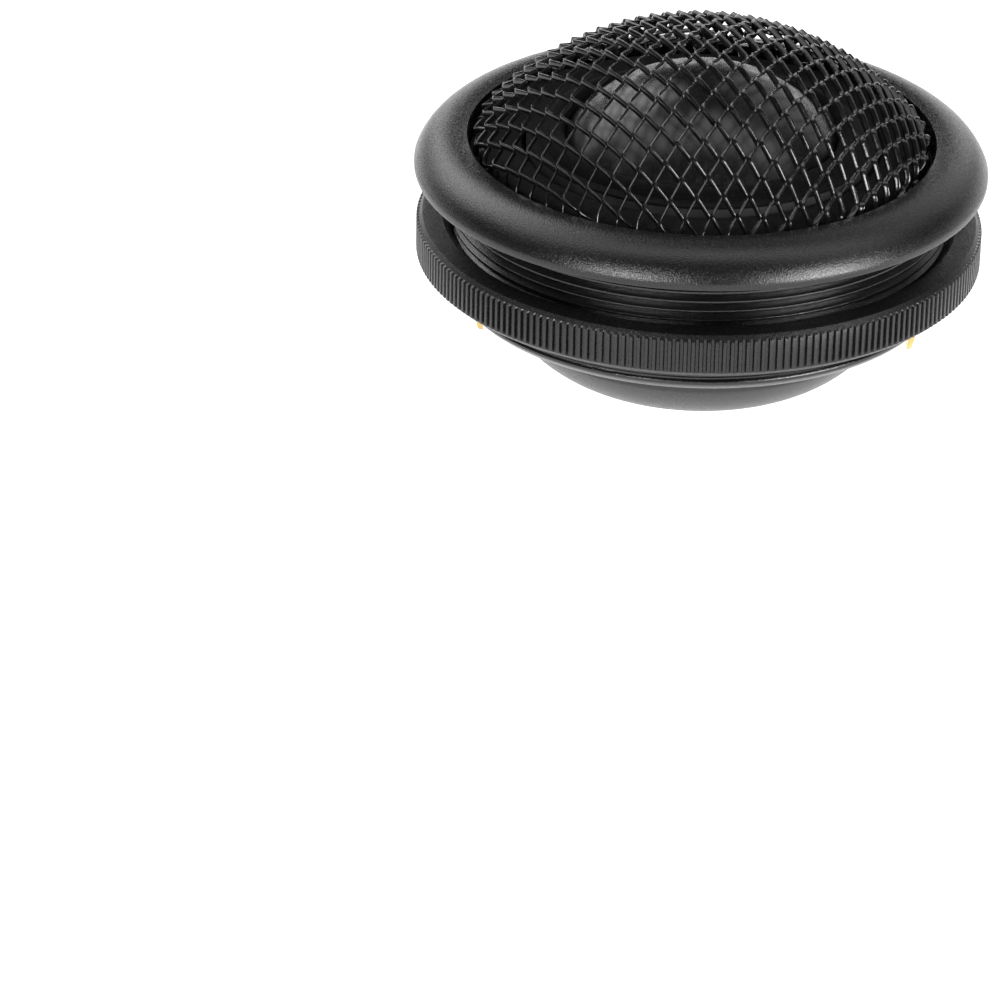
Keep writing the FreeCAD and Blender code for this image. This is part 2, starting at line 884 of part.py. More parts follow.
# ---------------------------------------------------------------- locking ring

def knurl_prism(doc):
    """Star-shaped prism with a tooth for each ridge of the knurl."""
    count = int(amount("knurl_count"))
    tip = amount("ring_radius")
    root = tip - amount("knurl_depth")
    corners = []
    for number in range(2 * count):
        radius = root if number % 2 else tip
        angle = math.pi * number / count
        corners.append(Vector(radius * math.cos(angle), radius * math.sin(angle), 0))
    outline = Part.makePolygon(corners + corners[:1])
    prism = doc.addObject("Part::Feature", "knurl_prism")
    prism.Shape = Part.Face(outline).extrude(Vector(0, 0, amount("ring_height")))
    return prism


def make_ring_blank(doc):
    """Ring with bevelled mouths, broken outer edges and an inner thread."""
    body = make_body(doc, "ring_blank")
    top = "ring_height"
    revolve(body, "ring_turned", [
        ("ring_thread_crest", "ring_bevel"),
        ("ring_bevel_radius", AXIS),
        ("ring_radius - ring_edge", AXIS),
        ("ring_radius", "ring_edge"),
        ("ring_radius", f"{top} - ring_edge"),
        ("ring_radius - ring_edge", top),
        ("ring_bevel_radius", top),
        ("ring_thread_crest", f"{top} - ring_bevel"),
    ])
    root = "ring_thread_crest + ring_thread_depth"
    first = "0.5*ring_height - 0.5*ring_thread_run"
    thread = groove(body, "inner_thread", [
        ("ring_thread_crest - ring_thread_depth", f"{first} - 2*thread_half_width"),
        ("ring_thread_crest - ring_thread_depth", f"{first} + 2*thread_half_width"),
        (root, first),
    ])
    repeat_along_axis(body, thread, "ring_thread_run", "ring_thread_turns")
    return body


def make_locking_ring(doc):
    blank = make_ring_blank(doc)
    ring = combine(doc, "Part::Common", "locking_ring", blank, knurl_prism(doc))
    ring.Label = "locking_ring"
    place(ring, "- ring_gap - ring_height")
    doc.recompute()
    return ring


# ---------------------------------------------------------------- whole tweeter

def make_all(doc):
    """Every piece of the tweeter, in the order it is put together from the front."""
    return [
        make_housing(doc),
        make_grille(doc),
        tube(doc, "front_felt_ring", "felt_level", "felt_inner", "felt_outer",
             "felt_thickness"),
        make_faceplate(doc),
        make_screws(doc),
        make_dome(doc),
        make_surround(doc),
        make_diaphragm_ring(doc),
        tube(doc, "voice_coil_former", "dome_level - former_length", "former_inner",
             "former_outer", "former_length"),
        tube(doc, "voice_coil_winding", "winding_level", "former_outer", "winding_radius",
             "winding_length"),
        make_lead(doc, "lead_wire_positive", 0),
        make_lead(doc, "lead_wire_negative", 180),
        make_top_plate(doc),
        tube(doc, "pole_plate", "plate_level", "vent_radius", "pole_radius",
             "plate_thickness"),
        make_copper_cap(doc),
        tube(doc, "magnet", "plate_level - magnet_height", "vent_radius", "magnet_radius",
             "magnet_height"),
        make_motor_cup(doc),
        tube(doc, "dome_damping_foam", "plate_level + plate_thickness + copper_sheet",
             "vent_radius", "foam_radius", "foam_thickness"),
        make_rear_plate(doc),
        make_terminal(doc, "terminal_positive", "tab_width_positive", 0),
        make_terminal(doc, "terminal_negative", "tab_width_negative", 180),
        make_rivets(doc),
        make_rear_cap(doc),
        make_badge(doc),
        make_wadding(doc),
        make_locking_ring(doc),
    ]


def check_document(doc):
    for thing in doc.Objects:
        if "Invalid" in thing.State or "Error" in thing.State:
            raise ValueError(f"{thing.Name} did not recompute: {thing.State}")


def write_parts(pieces):
    os.makedirs("parts", exist_ok=True)
    for piece in pieces:
        shape = piece.Shape
        if shape.isNull() or not shape.isValid() or shape.Volume <= 0:
            raise ValueError(f"{piece.Label} has no sound shape")
        shape.exportStep(os.path.join("parts", f"{piece.Label}.step"))
        box = shape.optimalBoundingBox(False)
        print(f"{piece.Label:22s} solids {len(shape.Solids):2d}  volume {shape.Volume:9.2f}  "
              f"z {box.ZMin:7.2f} {box.ZMax:7.2f}  r {max(box.XMax, box.YMax):6.2f}")


doc = FreeCAD.newDocument("car_tweeter")
make_sheet(doc)
pieces = make_all(doc)
doc.recompute()
check_document(doc)
write_parts(pieces)
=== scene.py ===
import math
import random

import bmesh
import bpy
from mathutils import Matrix, Vector


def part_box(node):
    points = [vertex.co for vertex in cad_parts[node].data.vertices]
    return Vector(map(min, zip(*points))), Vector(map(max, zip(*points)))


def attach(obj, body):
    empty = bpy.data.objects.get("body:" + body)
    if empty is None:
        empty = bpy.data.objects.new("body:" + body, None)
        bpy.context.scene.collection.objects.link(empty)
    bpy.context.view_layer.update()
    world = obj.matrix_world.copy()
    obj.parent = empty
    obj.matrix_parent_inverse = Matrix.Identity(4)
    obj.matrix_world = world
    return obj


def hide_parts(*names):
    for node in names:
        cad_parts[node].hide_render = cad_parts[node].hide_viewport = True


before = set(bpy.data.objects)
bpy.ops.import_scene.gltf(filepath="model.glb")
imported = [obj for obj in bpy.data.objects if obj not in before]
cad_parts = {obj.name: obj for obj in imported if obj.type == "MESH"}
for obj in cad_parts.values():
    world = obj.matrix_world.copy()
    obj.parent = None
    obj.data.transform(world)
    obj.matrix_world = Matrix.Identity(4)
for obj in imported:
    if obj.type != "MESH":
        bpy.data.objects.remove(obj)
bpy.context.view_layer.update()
MM = 0.001


# ------------------------------------------------------------------ sizes from the frame

def low(node):
    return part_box(node)[0]


def high(node):
    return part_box(node)[1]


def radius(node):
    """Outer radius of a round node, in millimetres."""
    return high(node).y / MM


FLANGE = radius("housing")
REAR = low("housing").z / MM
RING = radius("locking_ring")
RING_LOW = low("locking_ring").z / MM
RING_HIGH = high("locking_ring").z / MM
PLATE = radius("rear_plate")
PLATE_TOP = high("rear_plate").z / MM
GRILLE_TOP = high("grille_mesh").z / MM
DOME_FOOT = low("dome_diaphragm").z / MM
DOME_TOP = high("dome_diaphragm").z / MM

# Sizes in millimetres that the frame's boxes do not give.
OPENING = 24.5
BARREL = 26.0
THREAD_PITCH = 1.03
GRILLE_SPHERE = 31.0
GRILLE_CENTRE = GRILLE_TOP - GRILLE_SPHERE


# ------------------------------------------------------------------ mesh helpers

def make_object(name, verts, faces):
    """Smooth-shaded object from points in millimetres."""
    mesh = bpy.data.meshes.new(name)
    mesh.from_pydata([tuple(c * MM for c in v) for v in verts], [], faces)
    mesh.validate()
    obj = bpy.data.objects.new(name, mesh)
    bpy.context.scene.collection.objects.link(obj)
    for polygon in mesh.polygons:
        polygon.use_smooth = True
    return obj


def tidy(obj, distance=1e-6, sharp=None):
    """Welds doubled vertices, drops empty faces and makes the normals face out."""
    bm = bmesh.new()
    bm.from_mesh(obj.data)
    bmesh.ops.remove_doubles(bm, verts=bm.verts, dist=distance)
    bmesh.ops.dissolve_degenerate(bm, dist=distance, edges=bm.edges)
    bmesh.ops.recalc_face_normals(bm, faces=bm.faces)
    bm.to_mesh(obj.data)
    bm.free()
    if sharp is not None:
        keep_sharp(obj, sharp)
    return obj


def keep_sharp(obj, degrees):
    """Smooth shading that stops at edges sharper than the angle."""
    limit = math.radians(degrees)
    bm = bmesh.new()
    bm.from_mesh(obj.data)
    for edge in bm.edges:
        edge.smooth = len(edge.link_faces) != 2 or edge.calc_face_angle(0.0) < limit
    for face in bm.faces:
        face.smooth = True
    bm.to_mesh(obj.data)
    bm.free()


def rounded(profile, corners):
    """A closed profile of (radius, height) points with some corners rounded: corners maps
    the number of a point to its fillet radius."""
    out = []
    count = len(profile)
    for number, point in enumerate(profile):
        size = corners.get(number)
        if not size:
            out.append(tuple(point))
            continue
        here = Vector(point)
        before = Vector(profile[number - 1]) - here
        after = Vector(profile[(number + 1) % count]) - here
        half = before.angle(after) / 2
        reach = min(size / math.tan(half), before.length * 0.49, after.length * 0.49)
        first = here + before.normalized() * reach
        last = here + after.normalized() * reach
        for step in range(6):
            share = step / 5
            out.append(tuple(
                first * (1 - share) ** 2 + here * 2 * share * (1 - share) + last * share ** 2))
    return out


def turned_points(profile, steps):
    """Points of a (radius, height) profile, column by column round the axis."""
    verts = []
    for column in range(steps):
        angle = 2 * math.pi * column / steps
        c, s = math.cos(angle), math.sin(angle)
        verts.extend((r * c, r * s, z) for r, z in profile)
    return verts


def turned_faces(columns, rows, closed=True, first=0):
    """Faces between neighbouring columns of points that go once round the axis."""
    faces = []
    for column in range(columns):
        here = first + column * rows
        after = first + (column + 1) % columns * rows
        for row in range(rows if closed else rows - 1):
            below = (row + 1) % rows
            faces.append((here + row, after + row, after + below, here + below))
    return faces


def lathe(name, profile, steps=256, sharp=28):
    """Turned piece from a closed profile of (radius, height) points."""
    faces = turned_faces(steps, len(profile))
    return tidy(make_object(name, turned_points(profile, steps), faces), sharp=sharp)


def flat_plate(name, outlines, thickness, bevel):
    """Sheet with holes from closed outlines of (x, y), the first the outside, standing on
    z = 0, with softly broken edges."""
    curve = bpy.data.curves.new(name, "CURVE")
    curve.dimensions = "2D"
    curve.fill_mode = "BOTH"
    curve.extrude = (thickness / 2 - bevel) * MM
    curve.bevel_depth = bevel * MM
    curve.bevel_resolution = 2
    curve.offset = -bevel * MM
    for outline in outlines:
        spline = curve.splines.new("POLY")
        spline.points.add(len(outline) - 1)
        for point, (x, y) in zip(spline.points, outline):
            point.co = (x * MM, y * MM, 0, 1)
        spline.use_cyclic_u = True
    holder = bpy.data.objects.new(name + "_outline", curve)
    bpy.context.scene.collection.objects.link(holder)
    bpy.context.view_layer.update()
    graph = bpy.context.evaluated_depsgraph_get()
    mesh = bpy.data.meshes.new_from_object(holder.evaluated_get(graph))
    bpy.data.objects.remove(holder)
    mesh.transform(Matrix.Translation((0, 0, thickness / 2 * MM)))
    obj = bpy.data.objects.new(name, mesh)
    bpy.context.scene.collection.objects.link(obj)
    return tidy(obj, 2e-7, sharp=30)


def circle_points(size, count, x=0.0, y=0.0):
    """Points round a circle of radius size."""
    return [(x + size * math.cos(2 * math.pi * k / count),
             y + size * math.sin(2 * math.pi * k / count)) for k in range(count)]


def arc(centre, size, start, end, count):
    """Points of a circle's arc, angles in degrees."""
    out = []
    for k in range(count + 1):
        angle = math.radians(start + (end - start) * k / count)
        out.append((centre[0] + size * math.cos(angle), centre[1] + size * math.sin(angle)))
    return out


def arc_through(start, end, size, count, side=1):
    """Points from start to end on a circle whose centre lies left of the way."""
    a, b = Vector(start), Vector(end)
    chord = b - a
    rise = math.sqrt(size ** 2 - (chord.length / 2) ** 2)
    left = Vector((-chord.y, chord.x)).normalized()
    centre = (a + b) / 2 + left * rise * side
    first = math.atan2(a.y - centre.y, a.x - centre.x)
    last = math.atan2(b.y - centre.y, b.x - centre.x)
    if side > 0 and last < first:
        last += 2 * math.pi
    if side < 0 and last > first:
        last -= 2 * math.pi
    return [(centre.x + size * math.cos(first + (last - first) * k / count),
             centre.y + size * math.sin(first + (last - first) * k / count))
            for k in range(count + 1)]


def finish_piece(obj, body, material, *nodes):
    """Gives a piece its material, hides the CAD nodes it stands for and puts it on the body it
    moves with.
    """
    obj.data.materials.clear()
    obj.data.materials.append(material)
    if nodes:
        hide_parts(*nodes)
    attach(obj, body)
    return obj


# ------------------------------------------------------------------ materials

class Shader:
    """Small builder for one material's node tree."""

    def __init__(self, name):
        self.material = bpy.data.materials.new(name)
        self.material.use_nodes = True
        self.tree = self.material.node_tree
        self.surface = self.tree.nodes["Principled BSDF"]
        self.place = self.tree.nodes.new("ShaderNodeTexCoord").outputs["Object"]

    def link(self, a, b):
        self.tree.links.new(a, b)

    def node(self, kind, inputs=None, **settings):
        made = self.tree.nodes.new(kind)
        for key, value in settings.items():
            setattr(made, key, value)
        for key, value in (inputs or {}).items():
            if hasattr(value, "is_output"):
                self.link(value, made.inputs[key])
            else:
                made.inputs[key].default_value = value
        return made

    def noise(self, scale, detail=2.0, roughness=0.5, where=None):
        made = self.node("ShaderNodeTexNoise", {
            "Vector": where or self.place, "Scale": scale, "Detail": detail,
            "Roughness": roughness})
        return made.outputs["Fac"]

    def ramp(self, value, stops):
        made = self.node("ShaderNodeValToRGB", {"Fac": value})
        made.color_ramp.elements[0].position = stops[0][0]
        made.color_ramp.elements[0].color = (*stops[0][1], 1)
        made.color_ramp.elements[1].position = stops[-1][0]
        made.color_ramp.elements[1].color = (*stops[-1][1], 1)
        for position, colour in stops[1:-1]:
            made.color_ramp.elements.new(position).color = (*colour, 1)
        return made.outputs["Color"]

    def level(self, value, low_value, high_value, start=0.0, end=1.0):
        made = self.node("ShaderNodeMapRange", {
            "Value": value, "From Min": start, "From Max": end,
            "To Min": low_value, "To Max": high_value})
        return made.outputs["Result"]

    def sum(self, a, b, share=1.0):
        scaled = self.node("ShaderNodeMath", {0: b, 1: share}, operation="MULTIPLY")
        made = self.node("ShaderNodeMath", {0: a, 1: scaled.outputs[0]}, operation="ADD")
        return made.outputs[0]

    def bump(self, height, strength, distance):
        inputs = {"Height": height, "Strength": strength, "Distance": distance}
        return self.node("ShaderNodeBump", inputs).outputs["Normal"]

    def set(self, **values):
        names = {
            "colour": "Base Color", "metal": "Metallic", "rough": "Roughness",
            "normal": "Normal", "specular": "Specular IOR Level",
            "sheen": "Sheen Weight", "sheen_rough": "Sheen Roughness"}
        for key, value in values.items():
            socket = self.surface.inputs[names[key]]
            if hasattr(value, "is_output"):
                self.link(value, socket)
            else:
                socket.default_value = (*value, 1) if isinstance(value, tuple) else value
        return self.material


def grey(value):
    """Neutral tone with a trace of blue."""
    return (value, value, value * 1.02)


def anodised(name, tone, rough, grain=0.8):
    """Bead-blasted black anodised aluminium: fine sparkle of grain and slow tone changes."""
    shader = Shader(name)
    fine = shader.noise(7000, 1.5, 0.6)
    cloud = shader.noise(90, 3.0)
    both = shader.sum(fine, cloud, 0.25)
    colour = shader.ramp(both, [(0.42, grey(tone * 0.5)), (0.62, grey(tone)),
                                (0.80, grey(tone * 2.6))])
    return shader.set(
        colour=colour, rough=shader.level(fine, rough + 0.1, rough - 0.08, 0.3, 0.7),
        specular=0.5, normal=shader.bump(fine, grain, 0.00005))


def thread_black(name):
    """Turned and anodised thread flanks: a fine grain in the bump, with slow changes of tone
    and gloss.
    """
    shader = Shader(name)
    fine = shader.noise(4500, 2.0, 0.7)
    cloud = shader.noise(160, 3.0)
    colour = shader.ramp(shader.sum(cloud, fine, 0.3),
                         [(0.35, grey(0.001)), (0.8, grey(0.002))])
    return shader.set(
        colour=colour, rough=shader.level(cloud, 0.18, 0.26, 0.3, 0.7),
        specular=0.6, normal=shader.bump(fine, 0.7, 0.00006))


def gloss_black(name):
    """Gloss black stoving enamel on the mesh."""
    shader = Shader(name)
    cloud = shader.noise(700, 3.0)
    fine = shader.noise(3500, 2.0)
    return shader.set(
        colour=shader.ramp(cloud, [(0.3, grey(0.003)), (0.75, grey(0.008))]),
        rough=shader.level(cloud, 0.14, 0.26, 0.3, 0.7), specular=0.6,
        normal=shader.bump(fine, 0.4, 0.00003))


def silk(name):
    """Coated silk: a faint weave under a semi-gloss damping coat."""
    shader = Shader(name)
    cloth = shader.noise(4200, 1.0, 0.4)
    cloud = shader.noise(260, 4.0)
    height = shader.sum(cloth, cloud, 0.1)
    return shader.set(
        colour=shader.ramp(height, [(0.5, grey(0.002)), (0.75, grey(0.010))]),
        rough=shader.level(cloud, 0.24, 0.26, 0.3, 0.7), specular=0.6,
        normal=shader.bump(height, 0.06, 0.00002))


def moulded(name, tone, rough=0.4):
    """Black moulded or painted plate with a fine texture."""
    shader = Shader(name)
    fine = shader.noise(5200, 2.0, 0.6)
    cloud = shader.noise(120, 3.0)
    return shader.set(
        colour=shader.ramp(cloud, [(0.3, grey(tone * 0.8)), (0.75, grey(tone * 1.4))]),
        rough=shader.level(cloud, rough - 0.05, rough + 0.08, 0.3, 0.7), specular=0.45,
        normal=shader.bump(fine, 0.25, 0.00003))


def felt(name, dark, light, scale=2600):
    """Needled felt, coarse cloth or foam: matted fibres, rough and matt, with pale specks."""
    shader = Shader(name)
    fibre = shader.noise(scale, 6.0, 0.75)
    clump = shader.noise(scale * 0.3, 3.0)
    height = shader.sum(fibre, clump, 0.5)
    colour = shader.ramp(fibre, [(0.38, dark), (0.56, dark), (0.70, light)])
    return shader.set(
        colour=colour, rough=shader.level(fibre, 0.7, 0.95, 0.3, 0.7), specular=0.1,
        sheen=0.02, sheen_rough=0.5, normal=shader.bump(height, 0.9, 0.00012))


def brass(name):
    """Gold-plated brass strip with rolled grain and small tarnish."""
    shader = Shader(name)
    stretch = shader.node("ShaderNodeMapping", {
        "Vector": shader.place, "Scale": (1.0, 1.0, 0.12)}).outputs["Vector"]
    grain = shader.noise(6000, 3.0, 0.6, stretch)
    cloud = shader.noise(350, 4.0)
    colour = shader.ramp(cloud, [(0.25, (0.50, 0.31, 0.09)), (0.5, (0.72, 0.50, 0.19)),
                                 (0.8, (0.84, 0.64, 0.30))])
    return shader.set(
        colour=colour, metal=1.0, rough=shader.level(grain, 0.2, 0.38, 0.3, 0.7),
        normal=shader.bump(grain, 0.25, 0.00003))


def steel(name, tone, rough=0.3):
    """Plated steel with a fine ground grain."""
    shader = Shader(name)
    grain = shader.noise(4200, 3.0, 0.6)
    cloud = shader.noise(150, 3.0)
    return shader.set(
        colour=shader.ramp(cloud, [(0.3, tuple(c * 0.8 for c in tone)), (0.75, tone)]),
        metal=1.0, rough=shader.level(grain, rough - 0.06, rough + 0.12, 0.3, 0.7),
        normal=shader.bump(grain, 0.2, 0.00002))


def insulation(name, tone):
    """Soft coloured sleeve of a lead wire."""
    shader = Shader(name)
    cloud = shader.noise(500, 3.0)
    return shader.set(
        colour=shader.ramp(cloud, [(0.3, tuple(c * 0.8 for c in tone)), (0.8, tone)]),
        rough=shader.level(cloud, 0.4, 0.55, 0.3, 0.7),
        normal=shader.bump(shader.noise(3000), 0.2, 0.00003))


def print_pale(name):
    """Pale grey pad print with a slightly grainy edge."""
    shader = Shader(name)
    fine = shader.noise(6000, 3.0)
    return shader.set(
        colour=shader.ramp(fine, [(0.3, grey(0.40)), (0.75, grey(0.56))]),
        rough=shader.level(fine, 0.5, 0.65, 0.3, 0.7),
        normal=shader.bump(fine, 0.15, 0.00002))


# ------------------------------------------------------------------ housing

def thread_depth_at(turn_share, depth, flat=0.16):
    """How deep the thread is at a share of one turn's pitch: a V with a small crest flat."""
    distance = abs(turn_share - 0.5) * 2
    return depth * max(0.0, 1.0 - distance / (1.0 - flat))


def make_housing():
    """Barrel with a true helical outer thread, and the rounded flange."""
    steps = 360
    pitch = THREAD_PITCH
    depth = 0.5
    rows_per_turn = 10
    start = REAR + 1.05
    end = -0.6
    bezel_edge = 3.65
    bezel = arc_through((FLANGE, 0.74), (OPENING, bezel_edge), 4.7, 40)
    shelf, shelf_top, shelf_under = 22.0, -0.35, -1.95
    bore, rear_bore, rear_shelf = 24.0, 24.5, REAR + 1.6
    inner = [
        (OPENING, bezel_edge - 0.12), (OPENING, shelf_top), (shelf, shelf_top),
        (shelf, shelf_under), (bore, shelf_under), (bore, rear_shelf), (rear_bore, rear_shelf),
        (rear_bore, REAR + 0.12), (rear_bore + 0.12, REAR)]
    outer_rear = [(25.12, REAR), (25.3, REAR + 0.06), (25.94, REAR + 0.72),
                  (BARREL, REAR + 0.86)]
    outer_front = [(BARREL, -0.12), (BARREL + 0.06, -0.03), (BARREL + 0.2, 0.0),
                   (FLANGE - 0.24, 0.0), (FLANGE - 0.07, 0.06), (FLANGE, 0.24)]
    turns = int((end - start) / pitch)
    count = (turns + 2) * rows_per_turn
    verts, faces = [], []

    def thread_point(column, row):
        """Row heights climb by one pitch in a full turn, so the groove is a helix."""
        angle = 2 * math.pi * column / steps
        height = start + (row / rows_per_turn - 1 + column / steps) * pitch
        inside = min(max(height, start), end)
        share = (row % rows_per_turn) / rows_per_turn
        fade = min(1.0, (inside - start) / (0.5 * pitch), (end - inside) / (0.8 * pitch))
        r = BARREL - thread_depth_at(share, depth) * max(0.0, fade)
        return (r * math.cos(angle), r * math.sin(angle), inside)

    for column in range(steps + 1):
        for row in range(count + 1):
            verts.append(thread_point(column, row))
    for column in range(steps):
        for row in range(count):
            a = column * (count + 1) + row
            b = a + count + 1
            faces.append((a, b, b + 1, a + 1))
    profiles = [inner + outer_rear + [(BARREL, start)],
                [(BARREL, end)] + outer_front + bezel + [(OPENING, bezel_edge - 0.12)]]
    for profile in profiles:
        faces += turned_faces(steps, len(profile), closed=False, first=len(verts))
        verts += turned_points(profile, steps)
    obj = make_object("threaded_housing", verts, faces)
    return tidy(obj, 4e-6, sharp=34)


# ------------------------------------------------------------------ grille

# Stretched sheet: pitches of its diamonds, how it is turned, and the joint it is counted from.
MESH_SHORT = 2.96
MESH_LONG = 4.26
MESH_TURN = math.radians(6.95)
MESH_ANCHOR = (-1.42, -15.02)
PATTERN_WIDE = 34
PATTERN_LONG = 50

# One strand: its flat section, its lean at the joints, and the length of a joint.
RIBBON_WIDTH = 0.66
RIBBON_SHEET = 0.27
RIBBON_LEAN = math.radians(52)
RIBBON_POINTS = 12
BOND_LENGTH = 0.42

# The dome that the sheet is pressed into, and its turn down behind the flange's lip.
SHEET_SPHERE = GRILLE_SPHERE - 0.42
GRILLE_BEND = 23.1
GRILLE_TURN = 1.6
GRILLE_SKIRT = 23.6
GRILLE_BACK = 0.3
BEND_TILT = math.asin(GRILLE_BEND / SHEET_SPHERE)
SHEET_BEND = SHEET_SPHERE * BEND_TILT
SHEET_LIMIT = SHEET_BEND + 2.5


def dome_frame(x, y):
    """Place on the dome's middle surface of the point (x, y) of the flat sheet, and its
    normal. The sheet keeps its length from the middle outwards: it follows the sphere, then
    turns down into the gap behind the flange's lip."""
    along = math.hypot(x, y)
    if along < 1e-9:
        return Vector((0, 0, GRILLE_CENTRE + SHEET_SPHERE)), Vector((0, 0, 1))
    out = Vector((x / along, y / along, 0))
    if along <= SHEET_BEND:
        tilt = along / SHEET_SPHERE
        normal = out * math.sin(tilt) + Vector((0, 0, math.cos(tilt)))
        return Vector((0, 0, GRILLE_CENTRE)) + normal * SHEET_SPHERE, normal
    past = along - SHEET_BEND
    tilt = min(math.pi / 2, BEND_TILT + past / GRILLE_TURN)
    r = GRILLE_BEND + GRILLE_TURN * (math.sin(tilt) - math.sin(BEND_TILT))
    z = GRILLE_CENTRE + SHEET_SPHERE * math.cos(BEND_TILT)
    z -= GRILLE_TURN * (math.cos(BEND_TILT) - math.cos(tilt))
    z -= max(0.0, past - (tilt - BEND_TILT) * GRILLE_TURN)
    normal = out * math.sin(tilt) + Vector((0, 0, math.cos(tilt)))
    return out * min(r, GRILLE_SKIRT) + Vector((0, 0, z)), normal


def sheet_place(point):
    """Place of a point of the mesh pattern on the flat sheet, about the sheet's middle."""
    c, s = math.cos(MESH_TURN), math.sin(MESH_TURN)
    return (MESH_ANCHOR[0] + point.x * c - point.y * s,
            MESH_ANCHOR[1] + point.x * s + point.y * c)


def sheet_to_dome(point):
    """Point of the mesh pattern (x, y, height) on the dome."""
    place, normal = dome_frame(*sheet_place(point))
    return place + normal * point.z + Vector((0, GRILLE_BACK, 0))


def ribbon_path(column, rows, rng):
    """Middle line of one strand of the stretched sheet: it steps between the joints on its
    left, where it is the upper one, and those on its right, where it is the lower one."""
    lift = Vector((math.cos(RIBBON_LEAN), 0, math.sin(RIBBON_LEAN))) * (RIBBON_WIDTH / 2)
    path = []
    for row in range(-rows, rows + 1):
        right = (row + column) % 2 == 1
        joint = Vector((
            (column + (1 if right else 0)) * MESH_SHORT / 2, row * MESH_LONG / 2, 0))
        shake = Vector((rng.uniform(-1, 1), rng.uniform(-1, 1), rng.uniform(-1, 1))) * 0.012
        middle = joint + (-lift if right else lift) * 0.93 + shake
        path.append(middle - Vector((0, BOND_LENGTH / 2, 0)))
        path.append(middle + Vector((0, BOND_LENGTH / 2, 0)))
    return path


def ribbon_section(before, after):
    """Points round the strand's section as offsets: flat, with edges rounded by the paint."""
    wide = Vector((math.cos(RIBBON_LEAN), 0, math.sin(RIBBON_LEAN)))
    normals = [d.cross(wide).normalized() for d in (before, after) if d.length > 1e-9]
    middle = sum(normals, Vector()).normalized()
    stretch = 1 / max(0.6, middle.dot(normals[0]))
    section = []
    for k in range(RIBBON_POINTS):
        angle = 2 * math.pi * (k + 0.5) / RIBBON_POINTS
        c, s = math.cos(angle), math.sin(angle)
        across = math.copysign(abs(c) ** 0.75, c) * RIBBON_WIDTH / 2
        through = math.copysign(abs(s) ** 0.75, s) * RIBBON_SHEET / 2 * stretch
        section.append(wide * across + middle * through)
    return section


def flat_radius(point):
    """Distance of a point of the flat sheet from the middle."""
    return math.hypot(*sheet_place(point))


def trim_path(path):
    """Runs of a strand's path that lie inside the sheet's round outline."""
    runs = []
    run = []
    for point in path:
        if flat_radius(point) < SHEET_LIMIT:
            run.append(point)
        elif run:
            runs.append(run)
            run = []
    if run:
        runs.append(run)
    return [r for r in runs if len(r) > 3]


def crimp(run, rng):
    """Pushes the cut ends of a strand sideways, as the rolled edge of the mesh does."""
    drift = [rng.uniform(-0.7, 0.7), rng.uniform(-0.7, 0.7)]
    sink = rng.uniform(0.0, 0.25)
    middle = len(run) // 2
    for number, point in enumerate(run):
        past = max(0.0, flat_radius(point) - SHEET_BEND - 0.4) / (SHEET_LIMIT - SHEET_BEND)
        point += Vector((drift[number > middle] * past, 0, -sink * past))


def subdivide(path, longest=0.4):
    """Adds points so that a strand follows the dome smoothly."""
    out = [path[0]]
    for a, b in zip(path, path[1:]):
        pieces = max(1, math.ceil((b - a).length / longest))
        out.extend(a.lerp(b, k / pieces) for k in range(1, pieces + 1))
    return out


def make_grille():
    """Stretched-metal mesh: zigzag strands stacked at their joints, pressed into a dome."""
    rng = random.Random(7)
    verts, faces = [], []
    columns = int(2 * PATTERN_WIDE / MESH_SHORT) + 2
    rows = int(2 * PATTERN_LONG / MESH_LONG)
    points = RIBBON_POINTS
    for column in range(-columns, columns + 1):
        for run in trim_path(subdivide(ribbon_path(column, rows, rng))):
            crimp(run, rng)
            first = len(verts)
            for number, point in enumerate(run):
                before = point - run[number - 1] if number else Vector()
                after = run[number + 1] - point if number + 1 < len(run) else Vector()
                for corner in ribbon_section(before, after):
                    verts.append(tuple(sheet_to_dome(point + corner)))
            for number in range(len(run) - 1):
                for k in range(points):
                    a = first + number * points + k
                    b = first + number * points + (k + 1) % points
                    faces.append((a, b, b + points, a + points))
            faces.append(tuple(first + k for k in reversed(range(points))))
            faces.append(tuple(first + (len(run) - 1) * points + k for k in range(points)))
    obj = make_object("grille_strands", verts, faces)
    return tidy(obj, 1e-8, sharp=50)


# ------------------------------------------------------------------ front of the motor

def make_dome():
    """Silk dome: a cap of a sphere with an even thickness."""
    sphere, sheet = 17.33, 0.3
    centre = DOME_TOP - sphere
    tilt = math.degrees(math.acos((DOME_FOOT - centre) / sphere))
    inner_tilt = math.degrees(math.acos((DOME_FOOT - centre) / (sphere - sheet)))
    outer = arc((0, centre), sphere, 90 - tilt, 90, 60)
    inner = arc((0, centre), sphere - sheet, 90, 90 - inner_tilt, 60)
    return lathe("silk_dome", outer + inner, 256)


def make_surround():
    """Half roll between the dome's edge and the flat rim on the ring's sleeve."""
    base = low("surround").z / MM
    mouth, rim, top = 14.3, 18.3, base + 0.25
    roll = arc_through((17.0, top), (mouth, top), 1.45, 24)
    under = arc_through((14.55, base), (16.75, base), 1.12, 20, side=-1)
    profile = [(mouth, base)] + under + [(rim, base), (rim, top)] + roll
    return lathe("silk_surround", profile, 256)


def make_faceplate():
    """Flat plate with a bevelled mouth round the surround."""
    base = low("faceplate").z / MM
    top = high("faceplate").z / MM
    mouth, slope, edge = 18.45, 18.65, radius("faceplate")
    outline = [(mouth, base), (edge, base), (edge, top), (slope, top), (mouth, base + 0.9)]
    return lathe("faceplate_turned", rounded(outline, {3: 0.2, 4: 0.15, 2: 0.15}), 256)


